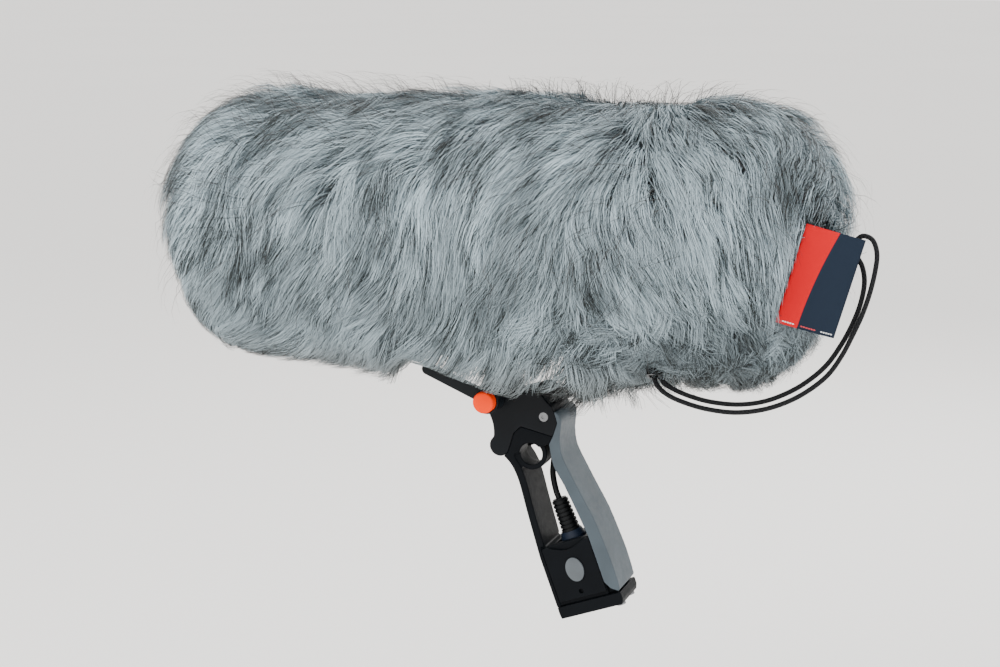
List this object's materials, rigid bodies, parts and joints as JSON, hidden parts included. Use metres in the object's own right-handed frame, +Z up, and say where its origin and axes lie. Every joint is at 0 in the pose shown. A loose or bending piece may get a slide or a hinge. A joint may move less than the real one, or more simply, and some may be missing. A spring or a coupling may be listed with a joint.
{
  "type": "furry windscreen",
  "caption": "Long fur-covered microphone windscreen with basket and suspension on a tilting pistol grip, with a clamp lever, plugged lead and hanging drawcord.",
  "frame": {"origin": "centre of the pole thread's mouth in the grip's base", "axes": "+Z up; the microphone points along -X, the label and drawcord are at +X, and the clamp lever is on the -Y side"},
  "size_m": [0.4552, 0.168, 0.3311],
  "materials": {
    "black_plastic": "satin",
    "soft_grip": "matte",
    "badge_grey": "satin",
    "steel": "satin",
    "gold_pins": "polished",
    "insulator": "matte",
    "plug_metal": "satin",
    "plug_blue": "satin",
    "boot_rubber": "matte",
    "cable": "matte",
    "head_black": "satin",
    "friction_fibre": "matte",
    "lever_black": "satin",
    "button_orange": "satin",
    "stem_plastic": "satin",
    "rail_metal": "satin",
    "lyre_plastic": "satin",
    "basket_plastic": "matte",
    "netting": "matte",
    "fur": "matte",
    "hem_tape": "matte",
    "eyelet_black": "satin",
    "drawcord": "matte",
    "label_tape": "matte"
  },
  "bodies": {
    "grip": {"grip_frame": "black_plastic", "soft_grip": "soft_grip", "side_plate_near": "black_plastic", "side_plate_far": "black_plastic", "badge_near": "badge_grey", "badge_far": "badge_grey", "base_cap": "black_plastic", "base_screws": "steel", "pole_insert": "steel", "xlr_shell": "steel", "xlr_insert": "insulator", "xlr_pins": "gold_pins", "plug_body": "plug_metal", "plug_collar": "plug_blue", "plug_boot": "boot_rubber", "lead_lower": "cable", "head": "head_black", "head_screw": "steel", "clamp_bolt": "steel", "clamp_nut": "steel", "friction_washers": "friction_fibre"},
    "lever": {"lever": "lever_black", "button_spring": "steel"},
    "button": {"lever_button": "button_orange"},
    "windshield": {"stem": "stem_plastic", "stem_gasket": "insulator", "rail": "rail_metal", "rail_screws": "steel", "lead_grommet": "insulator", "lead_upper": "cable", "mic_plug": "plug_metal", "mic_plug_boot": "boot_rubber", "basket_centre": "basket_plastic", "basket_front": "basket_plastic", "basket_rear": "basket_plastic", "netting_centre": "netting", "netting_front": "netting", "netting_rear": "netting", "lock_ring_front": "basket_plastic", "lock_ring_rear": "basket_plastic", "fur_sleeve": "fur", "fur_front": "fur", "fur_rear": "fur", "hem_binding": "hem_tape", "cord_eyelet": "eyelet_black", "drawcord": "drawcord", "label": "label_tape"},
    "front_suspension": {"front_carriage": "stem_plastic", "front_lyre": "lyre_plastic"},
    "rear_suspension": {"rear_carriage": "stem_plastic", "rear_lyre": "lyre_plastic"}
  },
  "joints": [
    {"name": "tilt", "type": "hinge", "parent": "grip", "child": "windshield", "pos_m": [-0.05398, 0, 0.14295], "axis": [0, 1, 0], "range_deg": [-25, 35]},
    {"name": "lever_turn", "type": "hinge", "parent": "grip", "child": "lever", "pos_m": [-0.05398, 0, 0.14295], "axis": [0, -1, 0], "range_deg": [0, 100]},
    {"name": "button_press", "type": "slide", "parent": "lever", "child": "button", "axis": [0, 1, 0], "range_m": [0, 0.0025], "stiffness_N_per_m": 600, "deforming": ["button_spring"]},
    {"name": "front_clip_slide", "type": "slide", "parent": "windshield", "child": "front_suspension", "axis": [1, 0, 0], "range_m": [-0.02, 0.02]},
    {"name": "rear_clip_slide", "type": "slide", "parent": "windshield", "child": "rear_suspension", "axis": [1, 0, 0], "range_m": [-0.02, 0.02]}
  ]
}
